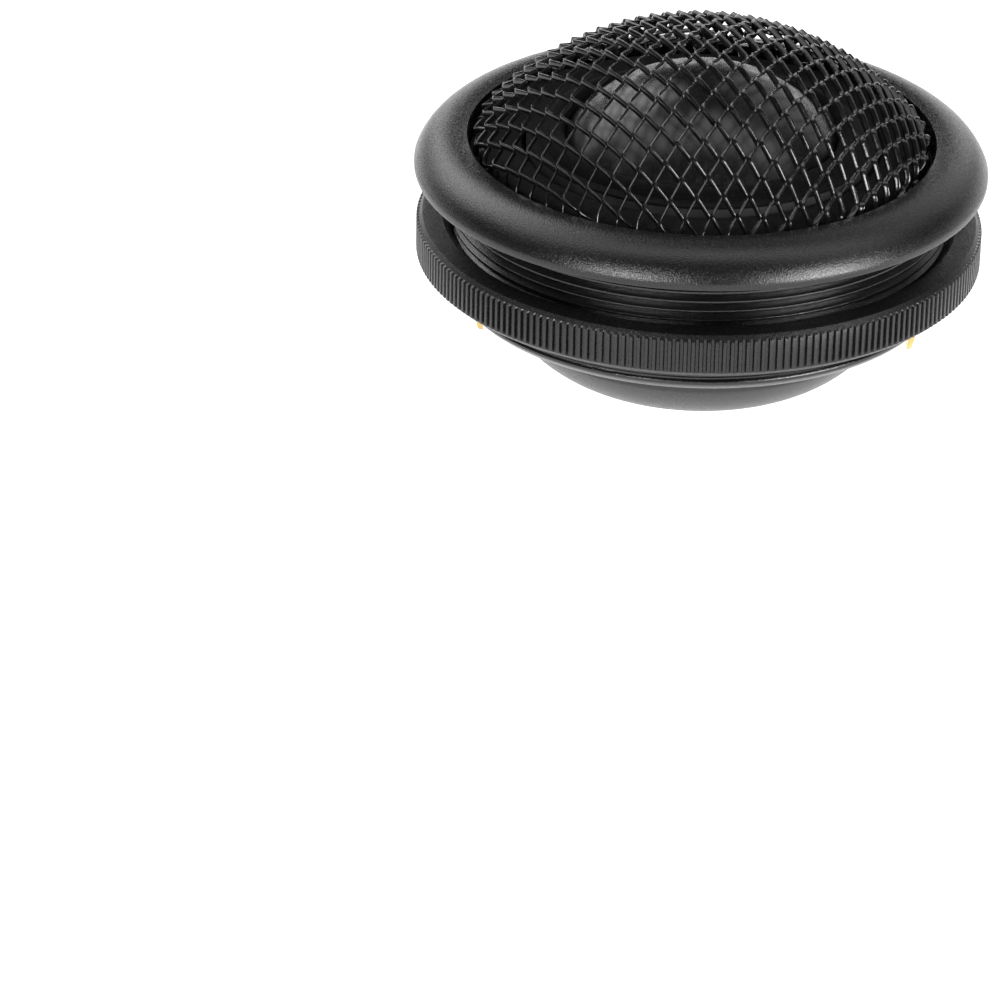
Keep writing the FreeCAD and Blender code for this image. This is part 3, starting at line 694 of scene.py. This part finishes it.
def make_felt():
    """Felt ring with a soft edge and a slightly uneven top."""
    base = low("front_felt_ring").z / MM
    top = high("front_felt_ring").z / MM
    inside, outside = 18.7, 23.3
    outline = rounded([(inside, base), (outside, base), (outside, top), (inside, top)],
                      {2: 0.45, 3: 0.45})
    steps = 420
    rng = random.Random(3)
    verts = []
    for column in range(steps):
        angle = 2 * math.pi * column / steps
        for r, z in outline:
            loose = 0.0 if z < base + 0.1 else 0.035
            verts.append((
                (r - rng.uniform(0, loose)) * math.cos(angle),
                (r - rng.uniform(0, loose)) * math.sin(angle),
                z - rng.uniform(0, loose * 1.5)))
    faces = turned_faces(steps, len(outline))
    return tidy(make_object("felt_ring_loose", verts, faces))


# ------------------------------------------------------------------ rear

TAB_START = 15.2
TAB_FACE = 23.9
TAB_SHEET = 0.5
SLOT_START = 23.2
WIDE_SLOT = 2.6
NARROW_SLOT = 1.6


def make_rear_cap():
    """Domed cover with the badge's recess, as heights from the housing's rear edge."""
    crown = arc_through((14.0, -8.2), (7.9, -9.78), 42.0, 16, side=-1)
    shoulder = arc_through((20.22, -3.05), (14.0, -8.2), 11.8, 24, side=-1)
    edge = [(20.4, -0.04), (20.31, -2.75), (20.28, -2.92)]
    lip = [(7.8, -9.78), (7.76, -9.7), (7.76, -9.12), (7.7, -9.05), (0.0, -9.05)]
    inside = [(0.0, -7.85), (9.0, -7.85), (13.4, -6.9)]
    inside += arc_through((13.4, -6.9), (19.0, -2.5), 10.4, 12, side=1)[1:]
    inside += [(19.0, 0.0), (20.36, 0.0)]
    profile = [(r, REAR + z) for r, z in edge + shoulder + crown[1:] + lip + inside]
    return lathe("cap_turned", profile, 320, sharp=24)


def make_rear_plate():
    """Plate with an open notch at each tab and a soft outer edge."""
    outline = []
    for x, y in circle_points(PLATE, 720):
        if abs(y) < (WIDE_SLOT if x > 0 else NARROW_SLOT):
            x = math.copysign(SLOT_START, x)
        outline.append((x, y))
    thick = PLATE_TOP - REAR
    plate = flat_plate("rear_plate_sheet", [outline, circle_points(14.0, 180)], thick, 0.1)
    plate.data.transform(Matrix.Translation((0, 0, REAR * MM)))
    return plate


def tab_outline(width, length, corner):
    """Flat strip with its two far corners cut off."""
    half = width / 2
    return [(-half, 0), (half, 0), (half, length - corner), (half - corner, length),
            (-half + corner, length), (-half, length - corner)]


def slot_outline(half, low_end, high_end, count=12):
    """Long hole with round ends."""
    points = arc((0, high_end), half, 0, 180, count)
    points += arc((0, low_end), half, 180, 360, count)
    return points


def make_tab(name, width, side):
    """Strip bent twice: foot along the plate, straight leg, then a slight lean inwards."""
    foot, lean_from, corner = 8.7, 4.0, 0.55
    total = foot + 7.75
    eye = slot_outline(0.7, foot + 5.1, foot + 5.75)
    rivet = circle_points(0.85, 24, 0, 1.5)
    outline = tab_outline(width, total, corner)
    strip = flat_plate(name, [outline, eye, rivet], TAB_SHEET, 0.06)
    bm = bmesh.new()
    bm.from_mesh(strip.data)
    cuts = [foot - 0.3 + 0.1 * k for k in range(7)]
    cuts += [foot + lean_from - 0.4 + 0.2 * k for k in range(5)]
    for cut in cuts:
        bmesh.ops.bisect_plane(
            bm, geom=bm.verts[:] + bm.edges[:] + bm.faces[:], dist=1e-7,
            plane_co=(0, cut * MM, 0), plane_no=(0, 1, 0))
    top = PLATE_TOP + TAB_SHEET
    for vert in bm.verts:
        across, run, height = (c / MM for c in vert.co)
        x, z = bend_strip(run, height, lean_from)
        vert.co = Vector((side * x, side * across, top + z)) * MM
    bm.to_mesh(strip.data)
    bm.free()
    return tidy(strip, 2e-7, sharp=30)


def bend_strip(run, height, lean_from):
    """Place in the X-Z plane of a point of the strip: run along it, height across its
    thickness. The strip starts at TAB_START and turns down at the end of the foot."""
    inner = 0.12
    lean = math.atan2(0.85, 3.7)
    turn_length = math.pi / 2 * (inner + TAB_SHEET / 2)
    straight = TAB_FACE - TAB_START - inner - TAB_SHEET
    if run <= straight:
        return TAB_START + run, -height
    centre = Vector((TAB_START + straight, -(TAB_SHEET + inner)))
    past = run - straight
    if past < turn_length:
        angle = past / turn_length * math.pi / 2
        size = inner + TAB_SHEET - height
        return centre.x + size * math.sin(angle), centre.y + size * math.cos(angle)
    past -= turn_length
    start = Vector((TAB_FACE - height, centre.y))
    free = lean_from - TAB_SHEET - inner
    if past < free:
        return start.x, start.y - past
    past -= free
    return start.x - past * math.sin(lean), start.y - free - past * math.cos(lean)


def make_badge():
    """Round plate with a soft edge."""
    outer = low("badge_disc").z / MM
    inner = high("badge_disc").z / MM
    outline = [(0.0, inner), (6.8, inner), (6.8, outer), (0.0, outer)]
    return lathe("badge_plate", rounded(outline, {2: 0.22}), 160)


def make_badge_mark():
    """Generic mark on the badge: two rings broken into arcs round a dot."""
    level = low("badge_disc").z / MM
    verts, faces = [], []

    def band(inner, outer, start, end, count=40):
        """Raised arc between two radii, angles in degrees."""
        first = len(verts)
        for k in range(count + 1):
            angle = math.radians(start + (end - start) * k / count)
            for r in (inner, outer):
                for z in (level - 0.015, level + 0.03):
                    verts.append((r * math.cos(angle), r * math.sin(angle), z))
        for k in range(count):
            a = first + k * 4
            b = a + 4
            faces.extend([(a, a + 2, b + 2, b), (a + 1, b + 1, b + 3, a + 3),
                          (a, b, b + 1, a + 1), (a + 2, a + 3, b + 3, b + 2)])
        faces.append((first, first + 1, first + 3, first + 2))
        last = first + count * 4
        faces.append((last, last + 2, last + 3, last + 1))

    for inner, outer in ((2.0, 2.75), (3.5, 4.25)):
        for middle in (45, 135, 225, 315):
            band(inner, outer, middle - 30, middle + 30)
    band(0.02, 1.15, 0, 359.9, 60)
    return tidy(make_object("badge_mark", verts, faces), 1e-8, sharp=30)


# ------------------------------------------------------------------ locking ring

KNURL_TEETH = 235
KNURL = ((0.0, 0.0), (0.38, 0.0), (0.52, 1.0), (0.86, 1.0))
KNURL_DEPTH = 0.3


def make_ring():
    """Knurled ring with bevelled mouths, smooth outer bevels and a helical inner thread."""
    top, bottom = RING_HIGH, RING_LOW
    crest = BARREL + 0.06
    outer = [(27.0, bottom, 0), (RING - 0.72, bottom, 0), (RING - 0.62, bottom + 0.03, 0),
             (RING - 0.33, bottom + 0.38, 0), (RING - 0.3, bottom + 0.42, 0),
             (RING - 0.02, bottom + 0.56, 1), (RING, bottom + 0.62, 1),
             (RING, top - 0.62, 1), (RING - 0.02, top - 0.56, 1),
             (RING - 0.3, top - 0.42, 0), (RING - 0.33, top - 0.38, 0),
             (RING - 0.62, top - 0.03, 0), (RING - 0.72, top, 0), (27.0, top, 0)]
    upper = [(26.95, top - 0.03), (26.35, top - 0.66), (crest, top - 0.8)]
    lower = [(crest, bottom + 0.8), (26.35, bottom + 0.66), (26.95, bottom + 0.03)]
    pitch, depth, rows_per_turn = THREAD_PITCH, 0.48, 8
    start, end = bottom + 0.8, top - 0.8
    count = int((end - start) / pitch * rows_per_turn) + 1
    verts = []
    for tooth in range(KNURL_TEETH):
        for share, cut in KNURL:
            turn = (tooth + share) / KNURL_TEETH
            line = [(r - KNURL_DEPTH * cut * knurled, z) for r, z, knurled in outer] + upper
            for k in range(count + 1):
                height = end - (end - start) * k / count
                phase = ((height - start) / pitch - turn) % 1.0
                fade = max(0.0, min(1.0, (height - start) / 0.5, (end - height) / 0.5))
                line.append((crest + thread_depth_at(phase, depth) * fade, height))
            line += lower
            c, s = math.cos(2 * math.pi * turn), math.sin(2 * math.pi * turn)
            verts.extend((r * c, r * s, z) for r, z in line)
    faces = turned_faces(KNURL_TEETH * len(KNURL), len(line))
    return tidy(make_object("knurled_ring", verts, faces), 1e-7, sharp=30)


# ------------------------------------------------------------------ stage

FLOOR_LEVEL = -0.045


def make_floor():
    """White sweep table, lit from below as well as above, as in a cut-out product shot."""
    bpy.ops.mesh.primitive_plane_add(size=3.0, location=(0, 0, FLOOR_LEVEL))
    floor = bpy.context.object
    floor.name = "floor"
    shader = Shader("pale_floor")
    speck = shader.noise(20, 3.0)
    white = shader.ramp(speck, [(0.3, (0.80, 0.80, 0.80)), (0.75, (0.82, 0.82, 0.82))])
    shader.surface.inputs["Emission Color"].default_value = (1, 1, 1, 1)
    shader.surface.inputs["Emission Strength"].default_value = 0.55
    floor.data.materials.append(shader.set(colour=white, rough=0.9, specular=0.1))


def add_light(name, place, size, power, tall=None):
    """Soft box that faces the tweeter: square, or size wide and tall high."""
    light = bpy.data.lights.new(name, "AREA")
    light.energy = power
    light.size = size
    if tall:
        light.shape = "RECTANGLE"
        light.size_y = tall
    obj = bpy.data.objects.new(name, light)
    bpy.context.scene.collection.objects.link(obj)
    obj.location = place
    obj.rotation_euler = (-Vector(place)).to_track_quat("-Z", "Y").to_euler()


def around(azimuth, elevation, distance=0.8):
    """Place at an angle round the tweeter: azimuth from +X towards +Y, in degrees."""
    a, e = math.radians(azimuth), math.radians(elevation)
    return (distance * math.cos(e) * math.cos(a), distance * math.cos(e) * math.sin(a),
            distance * math.sin(e))


def make_room():
    """Dim room with a pale band at the horizon, where low views look past the floor's edge."""
    room = bpy.data.worlds.new("studio")
    room.use_nodes = True
    nodes, links = room.node_tree.nodes, room.node_tree.links
    back = nodes["Background"]
    back.inputs["Color"].default_value = (1, 1, 1, 1)
    place = nodes.new("ShaderNodeTexCoord")
    split = nodes.new("ShaderNodeSeparateXYZ")
    height = nodes.new("ShaderNodeMath")
    height.operation = "ABSOLUTE"
    fall = nodes.new("ShaderNodeMapRange")
    for name, value in (("From Min", 0.08), ("From Max", 0.16),
                        ("To Min", 0.85), ("To Max", 0.01)):
        fall.inputs[name].default_value = value
    links.new(place.outputs["Generated"], split.inputs["Vector"])
    links.new(split.outputs["Z"], height.inputs[0])
    links.new(height.outputs[0], fall.inputs["Value"])
    links.new(fall.outputs["Result"], back.inputs["Strength"])
    return room


def make_light():
    """Soft boxes round a dim room: two low in front, two behind with a gap between them, a
    low strip far back and a wide strip overhead."""
    scene = bpy.context.scene
    scene.view_settings.view_transform = "Standard"
    scene.world = make_room()
    add_light("front_left", around(243, 20), 0.28, 4.5)
    add_light("front_right", around(320, 14), 0.38, 9.0)
    add_light("left_back", around(132, 36), 0.56, 3.1)
    add_light("right_back", around(58, 30), 0.56, 0.8)
    add_light("back_low", around(90, 6), 0.70, 0.5, tall=0.10)
    add_light("overhead", around(90, 88), 2.20, 4.6, tall=0.42)


def make_camera():
    """Camera at the photograph's angle and framing: it looks down at the seat's centre from
    24 degrees and is turned so that the tweeter sits at the upper right of the frame."""
    elevation = math.radians(24.4)
    distance = 0.570
    seen_width = 0.1049
    seat_right, seat_up = 0.0210, 0.0349
    roll = math.radians(2.0)
    data = bpy.data.cameras.new("camera")
    data.sensor_width = 36.0
    data.sensor_fit = "HORIZONTAL"
    data.lens = 36.0 * distance / seen_width
    cam = bpy.data.objects.new("camera", data)
    bpy.context.scene.collection.objects.link(cam)
    bpy.context.scene.camera = cam
    back = Vector((0, -math.cos(elevation), math.sin(elevation)))
    cam.rotation_mode = "QUATERNION"
    aim = (-back).to_track_quat("-Z", "Y")
    turn_side = math.atan(seat_right / distance)
    turn_up = math.atan(seat_up / distance)
    spin = Matrix.Rotation(turn_side, 3, "Y") @ Matrix.Rotation(-turn_up, 3, "X")
    tilt = Matrix.Rotation(roll, 3, "Z")
    cam.rotation_quaternion = (aim.to_matrix() @ tilt @ spin).to_quaternion()
    cam.location = back * distance
    data.clip_start, data.clip_end = 0.01, 20


# ------------------------------------------------------------------ everything together

def paint_thread(obj, material):
    """Puts the thread's own finish on the barrel below the flange."""
    obj.data.materials.append(material)
    for polygon in obj.data.polygons:
        x, y, z = polygon.center / MM
        if BARREL - 1.0 < math.hypot(x, y) < BARREL + 0.02 and z < -0.05:
            polygon.material_index = 1


def dress_inner_nodes():
    """Pieces that stay hidden inside keep their exact shapes and get real finishes."""
    finishes = {
        "faceplate_screws": steel("blackened_screws", (0.10, 0.10, 0.10), 0.35),
        "diaphragm_ring": moulded("ring_moulding", 0.02),
        "voice_coil_former": steel("former_foil", (0.75, 0.76, 0.78), 0.25),
        "voice_coil_winding": steel("enamelled_copper", (0.72, 0.32, 0.14), 0.3),
        "lead_wire_positive": insulation("lead_red", (0.42, 0.02, 0.02)),
        "lead_wire_negative": insulation("lead_black", (0.02, 0.02, 0.02)),
        "top_plate": steel("zinc_top", (0.55, 0.56, 0.58)),
        "pole_plate": steel("zinc_pole", (0.55, 0.56, 0.58)),
        "copper_cap": steel("copper_skin", (0.80, 0.42, 0.24), 0.28),
        "magnet": steel("nickel_magnet", (0.70, 0.69, 0.66), 0.2),
        "motor_cup": steel("zinc_cup", (0.50, 0.51, 0.53)),
        "dome_damping_foam": felt("open_foam", (0.05, 0.05, 0.05), (0.16, 0.16, 0.16), 1800),
        "terminal_rivets": brass("rivet_brass"),
        "chamber_wadding": felt("white_wadding", (0.55, 0.55, 0.53), (0.8, 0.8, 0.78), 900),
    }
    for name, material in finishes.items():
        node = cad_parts[name]
        node.data.materials.clear()
        node.data.materials.append(material)


def build():
    """Every visible piece with its material, body and CAD node."""
    body_black = anodised("black_anodised", 0.003, 0.25)
    housing = finish_piece(make_housing(), "tweeter", body_black, "housing")
    paint_thread(housing, thread_black("thread_black"))
    finish_piece(make_grille(), "tweeter", gloss_black("mesh_enamel"), "grille_mesh")
    finish_piece(make_felt(), "tweeter",
                 felt("black_felt", grey(0.0008), grey(0.016)), "front_felt_ring")
    finish_piece(make_faceplate(), "tweeter", moulded("faceplate_black", 0.002, 0.55),
                 "faceplate")
    finish_piece(make_dome(), "diaphragm", silk("coated_silk"), "dome_diaphragm")
    finish_piece(make_surround(), "tweeter",
                 felt("doped_cloth_edge", grey(0.0008), grey(0.016), 3400), "surround")
    finish_piece(make_rear_plate(), "tweeter", moulded("plate_black", 0.006, 0.42),
                 "rear_plate")
    gold = brass("plated_brass")
    finish_piece(make_tab("tab_wide", 4.8, 1), "tweeter", gold, "terminal_positive")
    finish_piece(make_tab("tab_narrow", 2.8, -1), "tweeter", gold, "terminal_negative")
    finish_piece(make_rear_cap(), "tweeter", anodised("cap_black", 0.008, 0.32),
                 "rear_cap")
    finish_piece(make_badge(), "tweeter", anodised("badge_black", 0.010, 0.34),
                 "badge_disc")
    finish_piece(make_badge_mark(), "tweeter", print_pale("badge_print"))
    finish_piece(make_ring(), "ring", anodised("ring_black", 0.003, 0.30, 0.6),
                 "locking_ring")
    dress_inner_nodes()


build()
make_floor()
make_light()
make_camera()
